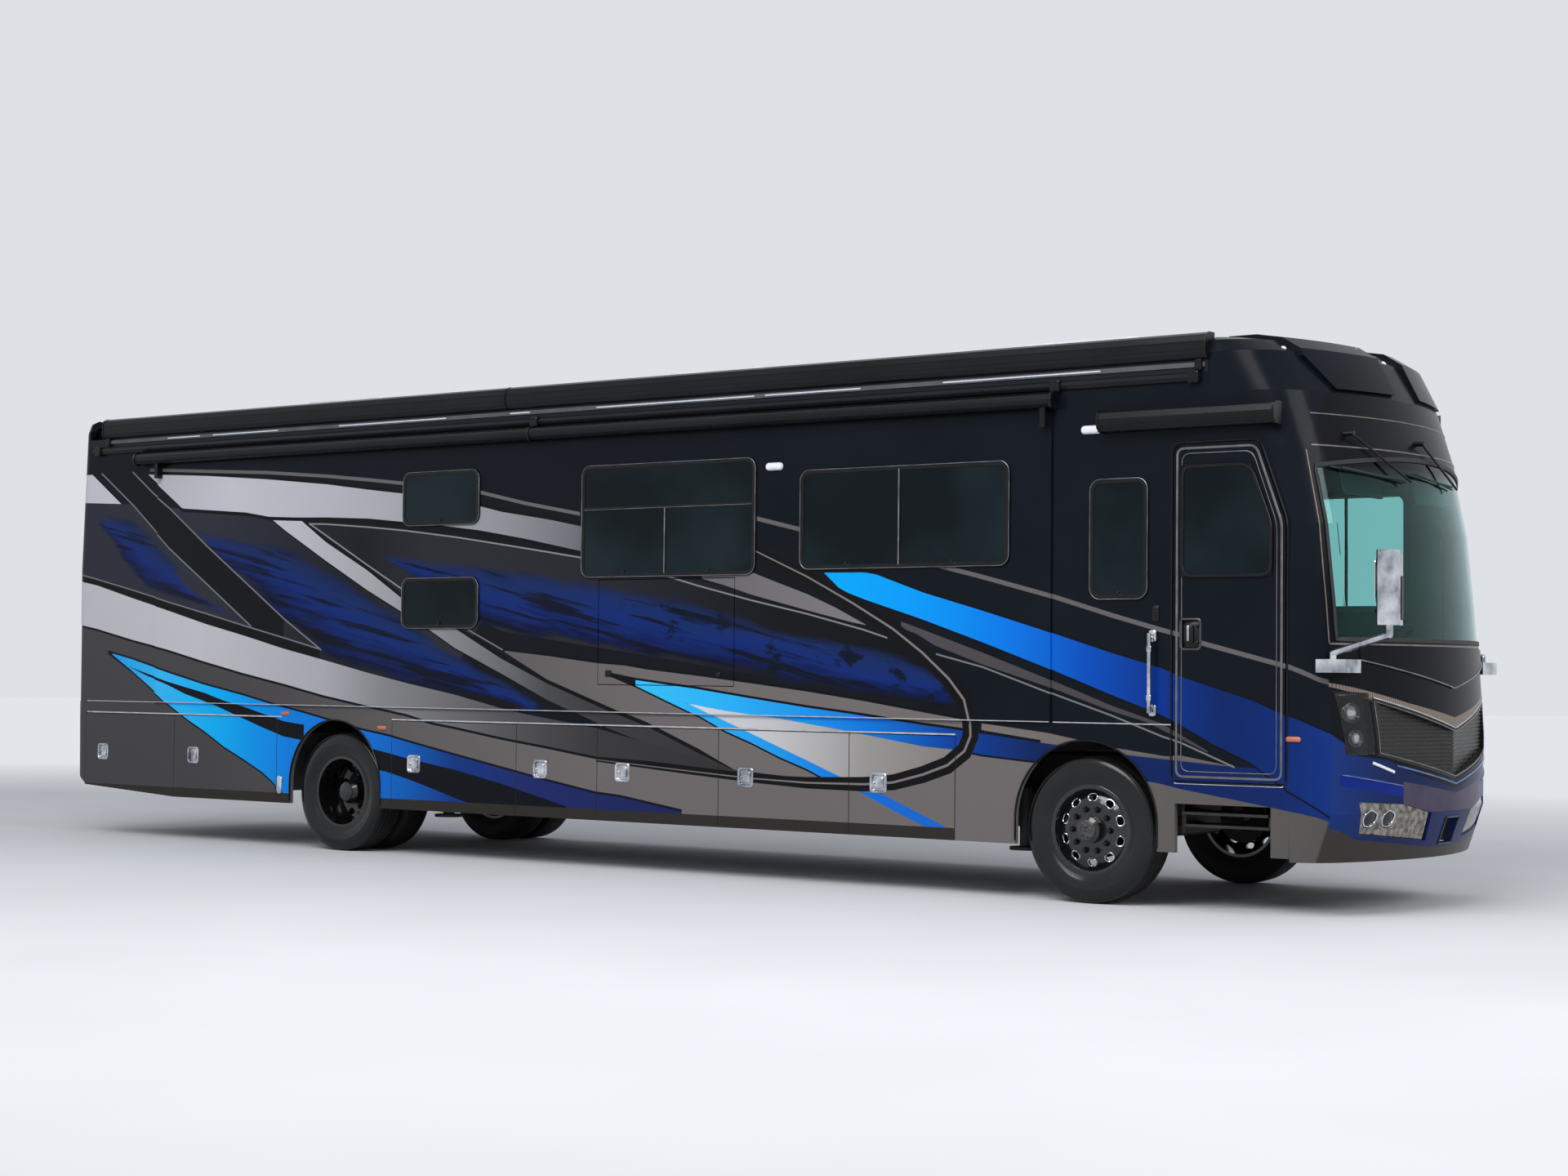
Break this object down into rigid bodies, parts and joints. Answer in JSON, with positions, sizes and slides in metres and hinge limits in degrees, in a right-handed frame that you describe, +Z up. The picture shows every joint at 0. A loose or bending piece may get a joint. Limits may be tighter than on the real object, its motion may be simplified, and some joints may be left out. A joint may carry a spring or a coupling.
{
  "type": "class A motorhome",
  "caption": "Full-size bus-type motorhome with slide-out rooms, hinged luggage doors, entry door and step, steered front wheels and twin rear wheels.",
  "frame": {"origin": "on the ground, midway along the whole with its mirrors and on the centre line", "axes": "+X to the front, +Y to the street side (driver's left), +Z up"},
  "size_m": [12.912, 3.06, 3.912],
  "materials": {
    "coach_paint": "gloss clearcoat in dark blue, black, silver and grey with blue bands",
    "roof_skin": "white fibreglass",
    "window_glass": "dark tinted glass",
    "screen_glass": "clear green-tinted laminated glass",
    "awning_black": "satin black",
    "chrome_trim": "polished",
    "grille_dark": "dark chrome mesh",
    "lamp_clear": "clear lens over bright reflector",
    "lamp_red": "red lens",
    "tyre_rubber": "matte black rubber",
    "wheel_black": "gloss black",
    "frame_steel": "black chassis paint",
    "axle_iron": "black painted iron",
    "engine_iron": "painted iron",
    "bay_metal": "bare sheet",
    "floor_wood": "covered plywood",
    "unit_plastic": "white moulded plastic",
    "tank_plastic": "black moulded plastic",
    "dash_plastic": "soft grained plastic",
    "seat_leather": "stitched leather",
    "bag_rubber": "matte rubber"
  },
  "bodies": {
    "coach": {"chassis_frame": "frame_steel", "cabin_floor": "floor_wood", "baggage_bays": "bay_metal", "curb_wall": "coach_paint", "street_wall": "coach_paint", "roof": "roof_skin", "front_cap": "coach_paint", "rear_cap": "coach_paint", "side_skirts": "coach_paint", "windshield": "screen_glass", "fixed_windows": "window_glass", "front_axle": "axle_iron", "rear_axle": "axle_iron", "air_springs": "bag_rubber", "engine_and_shaft": "engine_iron", "tanks_and_jacks": "tank_plastic", "dashboard": "dash_plastic", "cab_seats": "seat_leather", "front_lamps": "lamp_clear", "grille": "grille_dark", "bumper_inserts": "chrome_trim", "mirrors": "chrome_trim", "wipers": "awning_black", "awnings": "awning_black", "roof_units": "unit_plastic", "grab_handle": "chrome_trim", "tail_lamps": "lamp_red"},
    "steering": {"steering_wheel": "dash_plastic"},
    "knuckle_curb": {"knuckle_curb": "axle_iron"},
    "knuckle_street": {"knuckle_street": "axle_iron"},
    "front_wheel_curb": {"front_rim_curb": "wheel_black", "front_tyre_curb": "tyre_rubber"},
    "front_wheel_street": {"front_rim_street": "wheel_black", "front_tyre_street": "tyre_rubber"},
    "rear_wheels_curb": {"rear_rims_curb": "wheel_black", "rear_tyres_curb": "tyre_rubber"},
    "rear_wheels_street": {"rear_rims_street": "wheel_black", "rear_tyres_street": "tyre_rubber"},
    "entry_door": {"entry_door": "coach_paint", "entry_door_glass": "window_glass"},
    "entry_step": {"entry_step": "frame_steel"},
    "curb_slide": {"curb_slide": "coach_paint", "curb_slide_windows": "window_glass", "curb_slide_topper": "awning_black"},
    "tv_door": {"tv_door": "coach_paint"},
    "street_slide": {"street_slide": "coach_paint", "street_slide_windows": "window_glass"},
    "engine_door": {"engine_door": "coach_paint"},
    "curb_bay_door_1": {"curb_bay_door_1": "coach_paint"},
    "curb_bay_door_2": {"curb_bay_door_2": "coach_paint"},
    "curb_bay_door_3": {"curb_bay_door_3": "coach_paint"},
    "curb_bay_door_4": {"curb_bay_door_4": "coach_paint"},
    "curb_bay_door_5": {"curb_bay_door_5": "coach_paint"},
    "curb_bay_door_6": {"curb_bay_door_6": "coach_paint"},
    "curb_bay_door_7": {"curb_bay_door_7": "coach_paint"},
    "street_bay_door_1": {"street_bay_door_1": "coach_paint"},
    "street_bay_door_2": {"street_bay_door_2": "coach_paint"},
    "street_bay_door_3": {"street_bay_door_3": "coach_paint"},
    "street_bay_door_4": {"street_bay_door_4": "coach_paint"},
    "street_bay_door_5": {"street_bay_door_5": "coach_paint"}
  },
  "joints": [
    {"name": "steering_turn", "type": "hinge", "parent": "coach", "child": "steering", "pos_m": [5.468, 0.62, 1.77], "axis": [-0.5299, 0, 0.848], "range_deg": [-720, 720]},
    {"name": "steer_curb", "type": "hinge", "parent": "coach", "child": "knuckle_curb", "pos_m": [4.193, -0.95, 0.49], "axis": [0, 0, 1], "range_deg": [-40, 40]},
    {"name": "roll_front_curb", "type": "hinge", "parent": "knuckle_curb", "child": "front_wheel_curb", "pos_m": [4.193, -1.095, 0.49], "axis": [0, 1, 0], "continuous": true},
    {"name": "roll_rear_curb", "type": "hinge", "parent": "coach", "child": "rear_wheels_curb", "pos_m": [-2.975, -0.925, 0.49], "axis": [0, 1, 0], "continuous": true},
    {"name": "steer_street", "type": "hinge", "parent": "coach", "child": "knuckle_street", "pos_m": [4.193, 0.95, 0.49], "axis": [0, 0, 1], "range_deg": [-40, 40]},
    {"name": "roll_front_street", "type": "hinge", "parent": "knuckle_street", "child": "front_wheel_street", "pos_m": [4.193, 1.095, 0.49], "axis": [0, 1, 0], "continuous": true},
    {"name": "roll_rear_street", "type": "hinge", "parent": "coach", "child": "rear_wheels_street", "pos_m": [-2.975, 0.925, 0.49], "axis": [0, 1, 0], "continuous": true},
    {"name": "entry_door_swing", "type": "hinge", "parent": "coach", "child": "entry_door", "pos_m": [5.64, -1.285, 1.9], "axis": [0, 0, 1], "range_deg": [0, 90]},
    {"name": "entry_step_out", "type": "slide", "parent": "coach", "child": "entry_step", "axis": [0, -1, 0], "range_m": [0, 0.35]},
    {"name": "curb_room_out", "type": "slide", "parent": "coach", "child": "curb_slide", "axis": [0, -1, 0], "range_m": [0, 0.6]},
    {"name": "street_room_out", "type": "slide", "parent": "coach", "child": "street_slide", "axis": [0, 1, 0], "range_m": [0, 0.6]},
    {"name": "tv_door_lift", "type": "hinge", "parent": "curb_slide", "child": "tv_door", "pos_m": [0.5785, -1.3013, 2.212], "axis": [-1, 0, 0], "range_deg": [0, 90]},
    {"name": "engine_door_lift", "type": "hinge", "parent": "coach", "child": "engine_door", "pos_m": [-6.456, 0, 1.793], "axis": [0, 1, 0], "range_deg": [0, 80]},
    {"name": "curb_bay_door_1_swing", "type": "hinge", "parent": "coach", "child": "curb_bay_door_1", "pos_m": [-5.0105, -1.285, 0.735], "axis": [0, 0, 1], "range_deg": [0, 90]},
    {"name": "curb_bay_door_2_swing", "type": "hinge", "parent": "coach", "child": "curb_bay_door_2", "pos_m": [-3.6875, -1.285, 0.735], "axis": [0, 0, 1], "range_deg": [0, 90]},
    {"name": "curb_bay_door_3_swing", "type": "hinge", "parent": "coach", "child": "curb_bay_door_3", "pos_m": [-0.9335, -1.285, 0.735], "axis": [0, 0, 1], "range_deg": [0, 90]},
    {"name": "curb_bay_door_4_swing", "type": "hinge", "parent": "coach", "child": "curb_bay_door_4", "pos_m": [-0.0945, -1.285, 0.735], "axis": [0, 0, 1], "range_deg": [0, 90]},
    {"name": "curb_bay_door_5_swing", "type": "hinge", "parent": "coach", "child": "curb_bay_door_5", "pos_m": [1.0865, -1.285, 0.735], "axis": [0, 0, 1], "range_deg": [0, 90]},
    {"name": "curb_bay_door_6_swing", "type": "hinge", "parent": "coach", "child": "curb_bay_door_6", "pos_m": [2.2665, -1.285, 0.735], "axis": [0, 0, 1], "range_deg": [0, 90]},
    {"name": "curb_bay_door_7_swing", "type": "hinge", "parent": "coach", "child": "curb_bay_door_7", "pos_m": [3.1615, -1.285, 0.735], "axis": [0, 0, 1], "range_deg": [0, 90]},
    {"name": "street_bay_door_1_swing", "type": "hinge", "parent": "coach", "child": "street_bay_door_1", "pos_m": [-5.0105, 1.285, 0.735], "axis": [0, 0, -1], "range_deg": [0, 90]},
    {"name": "street_bay_door_2_swing", "type": "hinge", "parent": "coach", "child": "street_bay_door_2", "pos_m": [-3.6875, 1.285, 0.735], "axis": [0, 0, -1], "range_deg": [0, 90]},
    {"name": "street_bay_door_3_swing", "type": "hinge", "parent": "coach", "child": "street_bay_door_3", "pos_m": [-0.9335, 1.285, 0.735], "axis": [0, 0, -1], "range_deg": [0, 90]},
    {"name": "street_bay_door_4_swing", "type": "hinge", "parent": "coach", "child": "street_bay_door_4", "pos_m": [1.0865, 1.285, 0.735], "axis": [0, 0, -1], "range_deg": [0, 90]},
    {"name": "street_bay_door_5_swing", "type": "hinge", "parent": "coach", "child": "street_bay_door_5", "pos_m": [3.1615, 1.285, 0.735], "axis": [0, 0, -1], "range_deg": [0, 90]}
  ],
  "couplings": [
    {"joint": "steer_curb", "follows": "steering_turn", "ratio": 0.055},
    {"joint": "steer_street", "follows": "steering_turn", "ratio": 0.055}
  ]
}
